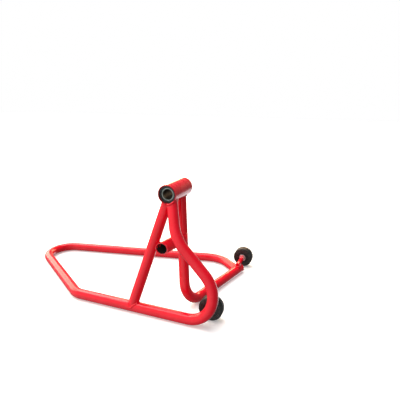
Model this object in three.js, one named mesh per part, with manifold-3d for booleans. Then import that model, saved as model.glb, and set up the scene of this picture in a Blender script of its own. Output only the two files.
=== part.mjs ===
// Paddock stand for a motorcycle with a single-sided swingarm.
// A welded frame of round tube carries a bearing socket at axle height and two small wheels.
// Millimetres. +X runs from the handle to the wheels, +Y along the axle, +Z up.
// Design dimensions are measured from the floor point below the socket's near end.
import * as THREE from 'three';
import { mergeVertices } from 'three/addons/utils/BufferGeometryUtils.js';
import Module from 'manifold-3d';

const wasm = await Module();
wasm.setup();

// ---------- driving dimensions ----------
const GAP = 0.3;                   // clearance left between neighbouring pieces
const TUBE_RADIUS = 15;            // 30 mm frame tube
const TUBE_WALL = 2.5;
const TUBE_SIDES = 20;
const BORE_SIDES = 10;
const BEND_STEP_DEGREES = 14;

const AXLE_HEIGHT = 340;           // socket axis above the floor
const SOCKET_RADIUS = 27;
const SOCKET_LENGTH = 120;
const SOCKET_START = 52;           // near end face of the socket
const SOCKET_SHOULDER_RADIUS = 21;
const SOCKET_CHAMFER = 1;

const BEARING_RADIUS = 23.5;       // thin-section bearing, 47 x 30 x 9 mm
const BEARING_BORE = 15;
const BEARING_WIDTH = 9;
const BEARING_SET_BACK = 6;        // bearing face behind the socket's end face
const OUTER_RACE_LIP = 20.6;
const INNER_RACE_LIP = 17.9;
const SEAL_THICKNESS = 1;
const BALL_RADIUS = 2.6;
const BALL_PITCH_RADIUS = 19.25;
const BALL_COUNT = 11;
const CAGE_THICKNESS = 1.4;
const CAGE_WIDTH = 3.2;

const CIRCLIP_THICKNESS = 1.7;
const CIRCLIP_SET_BACK = 4;
const CIRCLIP_GROOVE_RADIUS = 24.9;

const BRACE_RADIUS = 17.5;         // 35 mm cross tube, open at its near end
const BRACE_WALL = 2.5;
const BRACE_FACE_Y = 33;           // its near end is cut square to the axle

const WHEEL_RADIUS = 34;
const WHEEL_WIDTH = 28;
const WHEEL_CORE_RADIUS = 23;
const WHEEL_X = 137;
const WHEEL_Z = 35.5;
const NEAR_WHEEL_Y = 33;           // near face of each wheel
const FAR_WHEEL_Y = 406;

const STUD_RADIUS = 8;
const STUD_ROOT = 4;               // how far the stud's blank starts inside its tube
const STUD_PROUD = 3;              // thread showing past the nut
const JOURNAL_RADIUS = 6;
const WASHER_RADIUS = 12;
const WASHER_THICKNESS = 2;
const NUT_ACROSS_FLATS = 18;
const NUT_HEX_HEIGHT = 7;
const NUT_COLLAR_HEIGHT = 3.5;

const point = (x, y, z) => new THREE.Vector3(x, y, z);
const floorPoint = (x, y) => point(x, y, TUBE_RADIUS);

// Corners of the tube centre lines, before the bends are rounded.
const nearCorner = floorPoint(132, 0);
const handleBend = floorPoint(-281, 0);
const handleTip = floorPoint(-688, 267);
const farBend = floorPoint(51, 416);
const farCorner = floorPoint(133, 340);
const rearFoot = floorPoint(55, 57);
const frontKnee = point(167, 3, 112);
const frontHip = point(42, 16, 233);
const frontTop = point(2, SOCKET_START + 25, AXLE_HEIGHT);
const leftFoot = floorPoint(-86, 0);
const leftTop = point(-1, SOCKET_START + 26, AXLE_HEIGHT);
const rearTop = point(0, SOCKET_START + 96, AXLE_HEIGHT);
const braceMouth = point(-8.3, BRACE_FACE_Y, 190.4);
const braceEnd = point(24, 109, 202);

const HANDLE_BEND_RADIUS = 60;
const HANDLE_TIP_RADIUS = 70;
const FAR_BEND_RADIUS = 90;
const NEAR_CORNER_RADIUS = 68;
const FRONT_KNEE_RADIUS = 84;
const FRONT_HIP_RADIUS = 120;
const REAR_FOOT_RADIUS = 56;
const REAR_TUBE_OVERRUN = 25;      // rear tube runs on past the far corner, closing the main tube's mouth
const CAP_HEIGHT = 3.5;
const CAP_SKIRT_DEPTH = 4;
const CAP_SKIRT_PLAY = 1;

// ---------- materials ----------
const paint = (color, roughness, metalness) =>
  new THREE.MeshStandardMaterial({ color, roughness, metalness });
const redPaint = () => paint(0xdc1428, 0.28, 0.1);
const bearingSteel = () => paint(0x8f9a92, 0.3, 0.9);
const springSteel = () => paint(0x18181a, 0.45, 0.6);
const zincSteel = () => paint(0xb9bcc0, 0.35, 0.9);
const sealRubber = () => paint(0x101110, 0.7, 0);
const wheelRubber = () => paint(0x141615, 0.75, 0);
const blackNylon = () => paint(0x1b1c1c, 0.5, 0);
const bronze = () => paint(0xa9793a, 0.45, 0.8);
const whiteNylon = () => paint(0xe6e2d4, 0.5, 0);

// ---------- shape helpers ----------

// A tube bender's path: straight runs joined by arcs, sampled only where it turns.
class BentPath extends THREE.Curve {
  constructor(corners, bendRadii = []) {
    super();
    this.stations = [];
    corners.forEach((corner, i) => {
      const before = corners[i - 1];
      const after = corners[i + 1];
      if (!before || !after) {
        const along = before ? corner.clone().sub(before) : after.clone().sub(corner);
        this.stations.push({ at: corner.clone(), along: along.normalize() });
        return;
      }
      this.addBend(before, corner, after, bendRadii[i - 1]);
    });
  }

  addBend(before, corner, after, radius) {
    const incoming = corner.clone().sub(before).normalize();
    const outgoing = after.clone().sub(corner).normalize();
    const turn = incoming.angleTo(outgoing);
    const start = corner.clone().addScaledVector(incoming, -radius * Math.tan(turn / 2));
    const axis = incoming.clone().cross(outgoing).normalize();
    const toCentre = axis.clone().cross(incoming);
    const centre = start.clone().addScaledVector(toCentre, radius);
    const steps = Math.max(2, Math.ceil(turn / THREE.MathUtils.degToRad(BEND_STEP_DEGREES)));
    for (let k = 0; k <= steps; k += 1) {
      const angle = (turn * k) / steps;
      const at = start.clone().sub(centre).applyAxisAngle(axis, angle).add(centre);
      this.stations.push({ at, along: incoming.clone().applyAxisAngle(axis, angle) });
    }
  }

  get steps() {
    return this.stations.length - 1;
  }

  stationAt(u) {
    return this.stations[Math.round(u * this.steps)];
  }

  getPointAt(u) {
    return this.stationAt(u).at.clone();
  }

  getTangentAt(u) {
    return this.stationAt(u).along.clone();
  }
}

const circle = (PathClass, radius, sides, turn = 0) => {
  const corners = Array.from({ length: sides }, (_, k) => {
    const angle = turn + (2 * Math.PI * k) / sides;
    return new THREE.Vector2(radius * Math.cos(angle), radius * Math.sin(angle));
  });
  return new PathClass(corners);
};

// Round tube with a flat facet on the floor side, its facets at the tube's radius.
const sweep = (path, radius, wall = 0) => {
  const cornerRadius = radius / Math.cos(Math.PI / TUBE_SIDES);
  const section = circle(THREE.Shape, cornerRadius, TUBE_SIDES, Math.PI / TUBE_SIDES);
  if (wall > 0) {
    section.holes.push(circle(THREE.Path, radius - wall, BORE_SIDES));
  }
  return new THREE.ExtrudeGeometry(section, {
    extrudePath: path,
    steps: path.steps,
    curveSegments: 1,
    bevelEnabled: false,
  });
};

// A ring or disc turned about the Y axis from [radius, y] corners, listed anticlockwise.
const turned = (corners, sides = 24) => {
  const profile = [...corners, corners[0]].map(([r, y]) => new THREE.Vector2(r, y));
  return new THREE.LatheGeometry(profile, sides);
};

const ring = (inner, outer, from, to, sides) =>
  turned([[inner, from], [outer, from], [outer, to], [inner, to]], sides);

const rod = (radius, from, to, sides = 20) =>
  new THREE.LatheGeometry(
    [[0, from], [radius, from], [radius, to], [0, to]].map(([r, y]) => new THREE.Vector2(r, y)),
    sides,
  );

const extrudedAlongY = (shape, from, depth) =>
  new THREE.ExtrudeGeometry(shape, { depth, bevelEnabled: false, curveSegments: 9 })
    .rotateX(Math.PI / 2)
    .translate(0, from + depth, 0);

const solid = (geometry) => {
  const bare = geometry.clone();
  bare.deleteAttribute('normal');
  bare.deleteAttribute('uv');
  const merged = mergeVertices(bare, 1e-4);
  return new wasm.Manifold(new wasm.Mesh({
    numProp: 3,
    vertProperties: new Float32Array(merged.attributes.position.array),
    triVerts: new Uint32Array(merged.index.array),
  }));
};

const geometryOf = (manifold) => {
  const { vertProperties, triVerts } = manifold.getMesh();
  const geometry = new THREE.BufferGeometry();
  geometry.setAttribute('position', new THREE.BufferAttribute(vertProperties, 3));
  geometry.setIndex(new THREE.BufferAttribute(triVerts, 1));
  geometry.computeVertexNormals();
  return geometry;
};

const cut = (geometry, ...tools) =>
  geometryOf(tools.reduce((left, tool) => left.subtract(solid(tool)), solid(geometry)));

const join = (geometry, ...others) =>
  geometryOf(others.reduce((whole, other) => whole.add(solid(other)), solid(geometry)));

const part = (name, geometry, material, x = 0, y = 0, z = 0) => {
  const mesh = new THREE.Mesh(geometry, material);
  mesh.name = name;
  mesh.position.set(x, y, z);
  return mesh;
};

// ---------- welded frame ----------
const mainPath = new BentPath(
  [farCorner, farBend, handleTip, handleBend, nearCorner, frontKnee, frontHip, frontTop],
  [FAR_BEND_RADIUS, HANDLE_TIP_RADIUS, HANDLE_BEND_RADIUS,
    NEAR_CORNER_RADIUS, FRONT_KNEE_RADIUS, FRONT_HIP_RADIUS],
);
const rearDirection = farCorner.clone().sub(rearFoot).normalize();
const rearEnd = farCorner.clone().addScaledVector(rearDirection, REAR_TUBE_OVERRUN);
const rearPath = new BentPath([rearEnd, rearFoot, rearTop], [REAR_FOOT_RADIUS]);
const beyondCap = rearEnd.clone().addScaledVector(rearDirection, 3 * CAP_HEIGHT);
const cappedRearPath = new BentPath([beyondCap, rearFoot, rearTop], [REAR_FOOT_RADIUS]);
const leftPath = new BentPath([leftFoot, leftTop]);
const braceDirection = braceEnd.clone().sub(braceMouth).normalize();
const braceBlankStart = braceMouth.clone().addScaledVector(braceDirection, -BRACE_RADIUS);
const bracePath = new BentPath([braceBlankStart, braceEnd]);

const cleared = (path, radius = TUBE_RADIUS) => sweep(path, radius + GAP);
const socketCleared = () =>
  rod(SOCKET_RADIUS + GAP, 0, 2 * SOCKET_START + SOCKET_LENGTH, 32).translate(0, 0, AXLE_HEIGHT);
const beyondBraceFace = () => {
  const side = 4 * BRACE_RADIUS;
  return new THREE.BoxGeometry(side, side, side)
    .translate(braceMouth.x, BRACE_FACE_Y - side / 2, braceMouth.z);
};

const buildFrame = () => {
  const frame = new THREE.Group();
  frame.add(part(
    'main_tube',
    cut(sweep(mainPath, TUBE_RADIUS, TUBE_WALL), socketCleared(), cleared(cappedRearPath)),
    redPaint(),
  ));
  frame.add(part(
    'left_leg',
    cut(sweep(leftPath, TUBE_RADIUS, TUBE_WALL), socketCleared(), cleared(mainPath)),
    redPaint(),
  ));
  frame.add(part(
    'rear_tube',
    cut(sweep(rearPath, TUBE_RADIUS, TUBE_WALL), socketCleared()),
    redPaint(),
  ));
  frame.add(part(
    'lower_cross_tube',
    cut(
      sweep(bracePath, BRACE_RADIUS, BRACE_WALL),
      beyondBraceFace(),
      cleared(leftPath),
      cleared(rearPath),
      cleared(mainPath),
    ),
    redPaint(),
  ));
  frame.add(buildEndCap());
  return frame;
};

// Pressed cap with a low crown that closes the rear tube's end at the far corner.
const buildEndCap = () => {
  const skirt = TUBE_RADIUS - TUBE_WALL - CAP_SKIRT_PLAY;
  const crownSteps = 4;
  const crown = Array.from({ length: crownSteps }, (_, k) => {
    const angle = (Math.PI / 2) * (k / crownSteps);
    return [TUBE_RADIUS * Math.cos(angle), GAP + (CAP_HEIGHT - GAP) * Math.sin(angle)];
  });
  const plug = [[0, -CAP_SKIRT_DEPTH], [skirt, -CAP_SKIRT_DEPTH], [skirt, GAP]];
  const profile = [...plug, ...crown, [0, CAP_HEIGHT]].map(([r, y]) => new THREE.Vector2(r, y));
  const cap = part('rear_tube_end_cap', new THREE.LatheGeometry(profile, TUBE_SIDES), redPaint());
  cap.position.copy(rearEnd);
  cap.quaternion.setFromUnitVectors(point(0, 1, 0), rearDirection);
  return cap;
};

// ---------- axle socket ----------
const mirrorY = (corners) => corners.map(([r, y]) => [r, -y]).reverse();

const buildSocketTube = () => {
  const bore = BEARING_RADIUS + GAP / 2;
  const grooveStart = CIRCLIP_SET_BACK - GAP;
  const grooveEnd = CIRCLIP_SET_BACK + CIRCLIP_THICKNESS + GAP;
  const shoulder = BEARING_SET_BACK + BEARING_WIDTH + GAP;
  const end = SOCKET_LENGTH;
  const nearSeat = [[SOCKET_SHOULDER_RADIUS, shoulder], [bore, shoulder], [bore, grooveEnd],
    [CIRCLIP_GROOVE_RADIUS, grooveEnd], [CIRCLIP_GROOVE_RADIUS, grooveStart],
    [bore, grooveStart], [bore, 0], [SOCKET_RADIUS - SOCKET_CHAMFER, 0],
    [SOCKET_RADIUS, SOCKET_CHAMFER]];
  const farSeat = mirrorY(nearSeat).map(([r, y]) => [r, y + end]);
  return turned([...nearSeat, ...farSeat], 32);
};

// Internal retaining ring with two eyed lugs beside its gap.
const buildCirclip = () => {
  const outer = CIRCLIP_GROOVE_RADIUS - GAP;
  const inner = outer - 4;
  const lugEnd = inner - 3;
  const halfGap = 0.2;               // angles from the middle of the gap
  const lugEdge = halfGap + 0.26;
  const bandStart = lugEdge + 0.05;
  const eyeAngle = (halfGap + lugEdge) / 2;
  const eyeDistance = (inner + lugEnd) / 2 + 0.6;
  const eyeSize = 1;
  const shape = new THREE.Shape();
  shape.absarc(0, 0, outer, halfGap, 2 * Math.PI - halfGap, false);
  shape.absarc(0, 0, lugEnd, -halfGap, -lugEdge, true);
  shape.absarc(0, 0, inner, 2 * Math.PI - bandStart, bandStart, true);
  shape.absarc(0, 0, lugEnd, lugEdge, halfGap, true);
  [eyeAngle, -eyeAngle].forEach((angle) => {
    const eye = new THREE.Path();
    const x = eyeDistance * Math.cos(angle);
    const y = eyeDistance * Math.sin(angle);
    eye.absarc(x, y, eyeSize, 0, 2 * Math.PI, true);
    shape.holes.push(eye);
  });
  return extrudedAlongY(shape, 0, CIRCLIP_THICKNESS).rotateY(Math.PI / 2);
};

// Half-round ball groove as [radius, y] corners, from one lip to the other.
const groove = (lipRadius, side) => {
  const trackRadius = BALL_RADIUS + GAP;
  const middle = BEARING_WIDTH / 2;
  const reach = Math.abs(lipRadius - BALL_PITCH_RADIUS);
  const opening = Math.acos(reach / trackRadius);
  const steps = 3;
  return Array.from({ length: steps + 1 }, (_, k) => {
    const angle = -opening + (2 * opening * k) / steps;
    return [BALL_PITCH_RADIUS + side * trackRadius * Math.cos(angle),
      middle + trackRadius * Math.sin(angle)];
  });
};

const buildOuterRace = () =>
  turned([[OUTER_RACE_LIP, 0], [BEARING_RADIUS - GAP / 2, 0],
    [BEARING_RADIUS - GAP / 2, BEARING_WIDTH], [OUTER_RACE_LIP, BEARING_WIDTH],
    ...groove(OUTER_RACE_LIP, 1).reverse()]);

const buildInnerRace = () =>
  turned([[BEARING_BORE, 0], [INNER_RACE_LIP, 0], ...groove(INNER_RACE_LIP, -1),
    [INNER_RACE_LIP, BEARING_WIDTH], [BEARING_BORE, BEARING_WIDTH]]);

const buildCagedBalls = () => {
  const inner = BALL_PITCH_RADIUS - CAGE_THICKNESS / 2;
  const outer = BALL_PITCH_RADIUS + CAGE_THICKNESS / 2;
  const cage = ring(inner, outer, -CAGE_WIDTH / 2, CAGE_WIDTH / 2, 2 * BALL_COUNT);
  const balls = Array.from({ length: BALL_COUNT }, (_, k) => {
    const angle = (2 * Math.PI * k) / BALL_COUNT;
    return new THREE.SphereGeometry(BALL_RADIUS, 6, 5)
      .rotateY(angle)
      .translate(BALL_PITCH_RADIUS * Math.cos(angle), 0, -BALL_PITCH_RADIUS * Math.sin(angle));
  });
  return join(cage, ...balls).translate(0, BEARING_WIDTH / 2, 0);
};

const buildSeal = () => ring(INNER_RACE_LIP + GAP, OUTER_RACE_LIP - GAP, 0, SEAL_THICKNESS);

// lowSeal and highSeal name the seals on the bearing's -Y and +Y faces.
const buildBearing = (end, start, lowSeal, highSeal) => {
  const bearing = new THREE.Group();
  bearing.position.y = start;
  bearing.add(part(`${end}_bearing_outer_race`, buildOuterRace(), bearingSteel()));
  bearing.add(part(`${end}_bearing_inner_race`, buildInnerRace(), bearingSteel()));
  bearing.add(part(`${end}_bearing_caged_balls`, buildCagedBalls(), bearingSteel()));
  const highSealStart = BEARING_WIDTH - GAP - SEAL_THICKNESS;
  bearing.add(part(`${end}_bearing_${lowSeal}_seal`, buildSeal(), sealRubber(), 0, GAP));
  bearing.add(part(`${end}_bearing_${highSeal}_seal`, buildSeal(), sealRubber(), 0, highSealStart));
  return bearing;
};

const buildSocket = () => {
  const socket = new THREE.Group();
  socket.position.set(0, SOCKET_START, AXLE_HEIGHT);
  const farBearing = SOCKET_LENGTH - BEARING_SET_BACK - BEARING_WIDTH;
  const sleeveStart = BEARING_SET_BACK + BEARING_WIDTH + GAP;
  const sleeveEnd = SOCKET_LENGTH - sleeveStart;
  const farCirclip = SOCKET_LENGTH - CIRCLIP_SET_BACK - CIRCLIP_THICKNESS;
  socket.add(part('socket_tube', buildSocketTube(), redPaint()));
  socket.add(buildBearing('near', BEARING_SET_BACK, 'outboard', 'inboard'));
  socket.add(buildBearing('far', farBearing, 'inboard', 'outboard'));
  socket.add(part('near_circlip', buildCirclip(), springSteel(), 0, CIRCLIP_SET_BACK));
  socket.add(part('far_circlip', buildCirclip(), springSteel(), 0, farCirclip));
  socket.add(part(
    'pin_sleeve',
    ring(BEARING_BORE, INNER_RACE_LIP - GAP, sleeveStart, sleeveEnd),
    bearingSteel(),
  ));
  return socket;
};

// ---------- wheels ----------
const washerStart = -GAP - WASHER_THICKNESS;
const shoulderFace = washerStart - GAP;
const outerWasherStart = WHEEL_WIDTH + GAP;
const nutStart = outerWasherStart + WASHER_THICKNESS + GAP;
const nutEnd = nutStart + NUT_HEX_HEIGHT + NUT_COLLAR_HEIGHT;

const bothSides = (half) => [...half, ...half.map(([r, y]) => [r, WHEEL_WIDTH - y]).reverse()];

// Solid rubber tyre with rounded shoulders.
const buildTyre = () => {
  const shoulder = 3.5;
  const chamfer = shoulder / 3;
  const dish = 0.6;
  return turned(bothSides([[WHEEL_CORE_RADIUS + GAP, dish], [WHEEL_RADIUS - shoulder, 0],
    [WHEEL_RADIUS - chamfer, chamfer], [WHEEL_RADIUS, shoulder]]), 32);
};

// Nylon centre: a hub and a rim joined by a thinner web.
const buildCore = () => {
  const bore = STUD_RADIUS + GAP;
  const hub = 14;
  const rim = WHEEL_CORE_RADIUS - 2.5;
  const webDepth = 2.5;
  const rimDepth = 0.4;
  return turned(bothSides([[bore, 0], [hub, 0], [hub, webDepth], [rim, webDepth],
    [rim, rimDepth], [WHEEL_CORE_RADIUS, rimDepth]]));
};

const nutTop = NUT_HEX_HEIGHT + NUT_COLLAR_HEIGHT;
const collarRadius = NUT_ACROSS_FLATS / 2 - 0.6;
const insertRadius = collarRadius - 1.2;
const insertDepth = 2.8;

const buildLockNut = () => {
  const hexRadius = NUT_ACROSS_FLATS / Math.sqrt(3);
  const hex = extrudedAlongY(circle(THREE.Shape, hexRadius, 6), 0, NUT_HEX_HEIGHT);
  const collar = rod(collarRadius, NUT_HEX_HEIGHT - 0.5, nutTop);
  const bore = rod(JOURNAL_RADIUS + GAP, -1, nutTop + 1);
  const insertSeat = rod(insertRadius + GAP, nutTop - insertDepth, nutTop + 1);
  return cut(join(hex, collar), bore, insertSeat);
};

const buildNutInsert = () =>
  ring(JOURNAL_RADIUS + GAP, insertRadius, nutTop - insertDepth + GAP, nutTop - GAP, 20);

// Stud turned down to a journal, welded to the frame tube behind its shoulder.
const buildStud = (tailLength, ...tools) => {
  const tail = -tailLength;
  const tip = nutEnd + STUD_PROUD;
  const chamfer = 1;
  const blank = turned([[0, tail], [STUD_RADIUS, tail], [STUD_RADIUS, shoulderFace],
    [JOURNAL_RADIUS, shoulderFace], [JOURNAL_RADIUS, tip - chamfer],
    [JOURNAL_RADIUS - chamfer, tip], [0, tip]], 20);
  return cut(blank, ...tools);
};

const buildWheel = (end, y, tailLength, ...tubes) => {
  const wheel = new THREE.Group();
  wheel.position.set(WHEEL_X, y, WHEEL_Z);
  const tools = tubes.map((path) => cleared(path).translate(-WHEEL_X, -y, -WHEEL_Z));
  wheel.add(part(`${end}_wheel_stud`, buildStud(tailLength, ...tools), redPaint()));
  wheel.add(part(
    `${end}_inner_washer`,
    ring(JOURNAL_RADIUS + GAP, WASHER_RADIUS, washerStart, washerStart + WASHER_THICKNESS, 20),
    zincSteel(),
  ));
  wheel.add(part(`${end}_wheel_tyre`, buildTyre(), wheelRubber()));
  wheel.add(part(`${end}_wheel_core`, buildCore(), blackNylon()));
  wheel.add(part(
    `${end}_wheel_bush`,
    ring(JOURNAL_RADIUS + GAP, STUD_RADIUS, 0, WHEEL_WIDTH, 20),
    bronze(),
  ));
  wheel.add(part(
    `${end}_outer_washer`,
    ring(JOURNAL_RADIUS + GAP, WASHER_RADIUS, outerWasherStart, outerWasherStart + WASHER_THICKNESS, 20),
    zincSteel(),
  ));
  wheel.add(part(`${end}_lock_nut`, buildLockNut(), zincSteel(), 0, nutStart));
  wheel.add(part(`${end}_nut_insert`, buildNutInsert(), whiteNylon(), 0, nutStart));
  return wheel;
};

// ---------- assembly ----------
const stand = new THREE.Group();
stand.add(buildFrame());
stand.add(buildSocket());
const nearTail = NEAR_WHEEL_Y - nearCorner.y - STUD_ROOT;
const farTail = FAR_WHEEL_Y - farCorner.y + STUD_ROOT;
stand.add(buildWheel('near', NEAR_WHEEL_Y, nearTail, mainPath));
stand.add(buildWheel('far', FAR_WHEEL_Y, farTail, mainPath, cappedRearPath));

// Origin at the middle of the footprint, on the floor.
const bounds = new THREE.Box3().setFromObject(stand, true);
const middle = bounds.getCenter(new THREE.Vector3());
stand.position.set(-middle.x, -middle.y, 0);

export default stand;
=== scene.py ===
import math

import bmesh
import bpy
from mathutils import Matrix, Vector


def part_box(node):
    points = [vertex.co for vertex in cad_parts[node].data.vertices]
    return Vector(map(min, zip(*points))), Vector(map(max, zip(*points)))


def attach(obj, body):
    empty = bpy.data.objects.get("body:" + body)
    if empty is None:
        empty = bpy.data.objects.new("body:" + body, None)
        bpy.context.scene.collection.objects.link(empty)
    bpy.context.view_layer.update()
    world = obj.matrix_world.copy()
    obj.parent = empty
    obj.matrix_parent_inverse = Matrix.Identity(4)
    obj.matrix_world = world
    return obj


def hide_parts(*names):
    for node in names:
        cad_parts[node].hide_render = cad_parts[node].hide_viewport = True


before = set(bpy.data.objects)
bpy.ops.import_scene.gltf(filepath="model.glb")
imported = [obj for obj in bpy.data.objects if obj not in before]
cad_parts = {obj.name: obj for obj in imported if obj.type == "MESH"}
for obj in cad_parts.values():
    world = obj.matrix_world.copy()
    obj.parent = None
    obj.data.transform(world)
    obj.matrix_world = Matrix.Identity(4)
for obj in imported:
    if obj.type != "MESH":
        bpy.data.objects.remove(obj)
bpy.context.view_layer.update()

# ---------- sizes ----------
TUBE_RADIUS = 0.015
TUBE_WALL = 0.0025
BRACE_RADIUS = 0.0175
BRACE_WALL = 0.0025
SOCKET_RADIUS = 0.027
SOCKET_INSET = 0.052               # the socket's near end, from the near floor run's centre line
RIM_DEPTH = 0.003                  # how far paint reaches into an open tube
WELD_SINK = 0.0004                 # how far a coped end sinks into the tube it is welded to
TUBE_SIDES = 64
BEND_STEP = math.radians(2.5)
TURNED_SIDES = 96

socket_low, socket_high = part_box("socket_tube")
AXLE_X = (socket_low.x + socket_high.x) / 2
AXLE_Z = (socket_low.z + socket_high.z) / 2
SOCKET_LENGTH = socket_high.y - socket_low.y
BASE = Vector((AXLE_X, socket_low.y - SOCKET_INSET, 0))


def at(x, y, z=TUBE_RADIUS):
    """A point measured from the floor below the axle, on the near run's centre line."""
    return BASE + Vector((x, y, z))


# Corners of the tube centre lines, before the bends are rounded.
NEAR_CORNER = at(0.132, 0)
HANDLE_BEND = at(-0.281, 0)
HANDLE_TIP = at(-0.688, 0.267)
FAR_BEND = at(0.051, 0.416)
FAR_CORNER = at(0.133, 0.340)
REAR_FOOT = at(0.055, 0.057)
FRONT_KNEE = at(0.167, 0.003, 0.112)
FRONT_HIP = at(0.042, 0.016, 0.233)
FRONT_TOP = at(0.002, 0.077, AXLE_Z)
LEFT_FOOT = at(-0.086, 0)
LEFT_TOP = at(-0.001, 0.078, AXLE_Z)
REAR_TOP = at(0, 0.148, AXLE_Z)
BRACE_MOUTH = at(-0.0083, 0.033, 0.1904)
BRACE_END = at(0.024, 0.109, 0.202)
REAR_OVERRUN = 0.025

MAIN_BENDS = (0.090, 0.070, 0.060, 0.068, 0.084, 0.120)
REAR_BENDS = (0.056,)


# ---------- mesh helpers ----------
def grid_faces(rows, columns, wrap_columns=True):
    """Quads between neighbouring rows of points, with the last row joined to the first."""
    faces = []
    for i in range(rows):
        low = i * columns
        high = (i + 1) % rows * columns
        for k in range(columns if wrap_columns else columns - 1):
            after = (k + 1) % columns
            faces.append((low + k, low + after, high + after, high + k))
    return faces


def make_mesh(name, points, faces, sharp_degrees=35):
    """A clean mesh with its faces pointing out, smooth but for its sharp edges."""
    mesh = bpy.data.meshes.new(name)
    mesh.from_pydata([tuple(p) for p in points], [], faces)
    bm = bmesh.new()
    bm.from_mesh(mesh)
    bmesh.ops.remove_doubles(bm, verts=bm.verts, dist=1e-7)
    bmesh.ops.dissolve_degenerate(bm, edges=bm.edges, dist=1e-8)
    bmesh.ops.recalc_face_normals(bm, faces=bm.faces)
    bm.to_mesh(mesh)
    bm.free()
    mesh.shade_smooth()
    mesh.set_sharp_from_angle(angle=math.radians(sharp_degrees))
    return mesh


def mark_wear(mesh, least_degrees=12, full_degrees=28):
    """Stores how sharp each outward edge is, for the materials' worn edges."""
    bm = bmesh.new()
    bm.from_mesh(mesh)
    values = []
    for vertex in bm.verts:
        bends = [math.degrees(e.calc_face_angle_signed(0)) for e in vertex.link_edges]
        sharpest = max(bends, default=0)
        values.append(min(max((sharpest - least_degrees) / (full_degrees - least_degrees), 0), 1))
    bm.free()
    wear = mesh.attributes.new("wear", "FLOAT", "POINT")
    wear.data.foreach_set("value", values)


def mark_thin_coat_and_painted_shade(mesh, first):
    """Marks a tube's inner wall, where the powder coat doesn't reach and the colour is painted near black as
    painted shade, from its first point on.
    """
    last = len(mesh.vertices) - TUBE_SIDES
    thin_coat_and_painted_shade = mesh.attributes.new("thin_coat_and_painted_shade", "FLOAT", "POINT")
    thin_coat_and_painted_shade.data.foreach_set("value", [1.0 if first <= i < last else 0.0 for i in range(len(mesh.vertices))])


def add_piece(name, mesh, look, body, nodes=(), place=None):
    """Puts a mesh in the scene on a body, in place of CAD nodes, with its finish."""
    piece = bpy.data.objects.new(name, mesh)
    bpy.context.scene.collection.objects.link(piece)
    if place is not None:
        piece.location = place
    slot, material = look
    mesh.materials.clear()
    mesh.materials.append(material)
    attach(piece, body)
    if nodes:
        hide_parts(*nodes)
    return piece


# ---------- tube helpers ----------
def bent_path(corners, radii=()):
    """(point, direction) stations of straight runs joined by arcs."""
    stations = [(corners[0], (corners[1] - corners[0]).normalized())]
    for before, corner, after, radius in zip(corners, corners[1:], corners[2:], radii):
        incoming = (corner - before).normalized()
        outgoing = (after - corner).normalized()
        turn = incoming.angle(outgoing)
        start = corner - incoming * radius * math.tan(turn / 2)
        axis = incoming.cross(outgoing).normalized()
        centre = start + axis.cross(incoming) * radius
        steps = max(2, math.ceil(turn / BEND_STEP))
        for k in range(steps + 1):
            turning = Matrix.Rotation(turn * k / steps, 3, axis)
            stations.append((centre + turning @ (start - centre), turning @ incoming))
    stations.append((corners[-1], (corners[-1] - corners[-2]).normalized()))
    return stations


def rings_along(stations, radius):
    """Rings of points round a path, turned no more than the path makes them."""
    along = stations[0][1]
    side = along.orthogonal().normalized()
    rings = []
    for centre, direction in stations:
        side = along.rotation_difference(direction) @ side
        along = direction
        other = direction.cross(side)
        ring = []
        for k in range(TUBE_SIDES):
            angle = 2 * math.pi * k / TUBE_SIDES
            ring.append(centre + (side * math.cos(angle) + other * math.sin(angle)) * radius)
        rings.append(ring)
    return rings


def onto_tube(axis_point, axis, radius):
    """Trims a tube's side lines where they reach another tube, or pass it closest."""
    def reach(start, direction, misses=None):
        across = direction - axis * direction.dot(axis)
        offset = start - axis_point
        offset = offset - axis * offset.dot(axis)
        half = across.dot(offset)
        root = half ** 2 - across.length_squared * (offset.length_squared - radius ** 2)
        if root < 0 and misses is not None:
            return misses
        return (-half - math.sqrt(max(root, 0))) / across.length_squared
    return reach


def onto_plane(plane_point, normal):
    """Trims a tube's side lines at a plane."""
    def reach(start, direction):
        return normal.dot(plane_point - start) / normal.dot(direction)
    return reach


def trim_ends(rings, stations, start_trim, end_trim):
    """Moves the end rings along their side lines onto what they meet."""
    if start_trim:
        back = -stations[0][1]
        rings[0] = [p + back * start_trim(p, back) for p in rings[1]]
    if end_trim:
        ahead = stations[-1][1]
        rings[-1] = [p + ahead * end_trim(p, ahead) for p in rings[-2]]


def build_tube(node, stations, radius=TUBE_RADIUS, wall=TUBE_WALL, start_trim=None, end_trim=None):
    """A hollow tube along a path. Returns the loops round its two ends."""
    outer = rings_along(stations, radius)
    inner = rings_along(stations, radius - wall)
    for rings in (outer, inner):
        trim_ends(rings, stations, start_trim, end_trim)
        rings.insert(1, [p + stations[0][1] * RIM_DEPTH for p in rings[0]])
        rings.insert(-1, [p - stations[-1][1] * RIM_DEPTH for p in rings[-1]])
    points = [p for ring in outer + inner[::-1] for p in ring]
    mesh = make_mesh(node, points, grid_faces(2 * len(outer), TUBE_SIDES))
    mark_wear(mesh)
    mark_thin_coat_and_painted_shade(mesh, (len(outer) + 1) * TUBE_SIDES)
    add_piece(f"{node}_finish", mesh, RED, "frame", [node])
    return outer[0], outer[-1]


# ---------- turned pieces ----------
def rounded(corners, radius, closed=True, steps=3):
    """A [radius, y] outline with its corners eased, each between two held edges."""
    outline = []
    for i, corner in enumerate(corners):
        here = Vector(corner)
        if not closed and i in (0, len(corners) - 1):
            outline.append(here)
            continue
        back = Vector(corners[i - 1]) - here
        ahead = Vector(corners[(i + 1) % len(corners)]) - here
        reach = min(radius, 0.4 * back.length, 0.4 * ahead.length)
        back.normalize()
        ahead.normalize()
        start = here + back * reach
        end = here + ahead * reach
        outline.append(start + back * reach / 4)
        for k in range(steps + 1):
            t = k / steps
            outline.append(start * (1 - t) ** 2 + here * 2 * t * (1 - t) + end * t * t)
        outline.append(end + ahead * reach / 4)
    return outline


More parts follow.
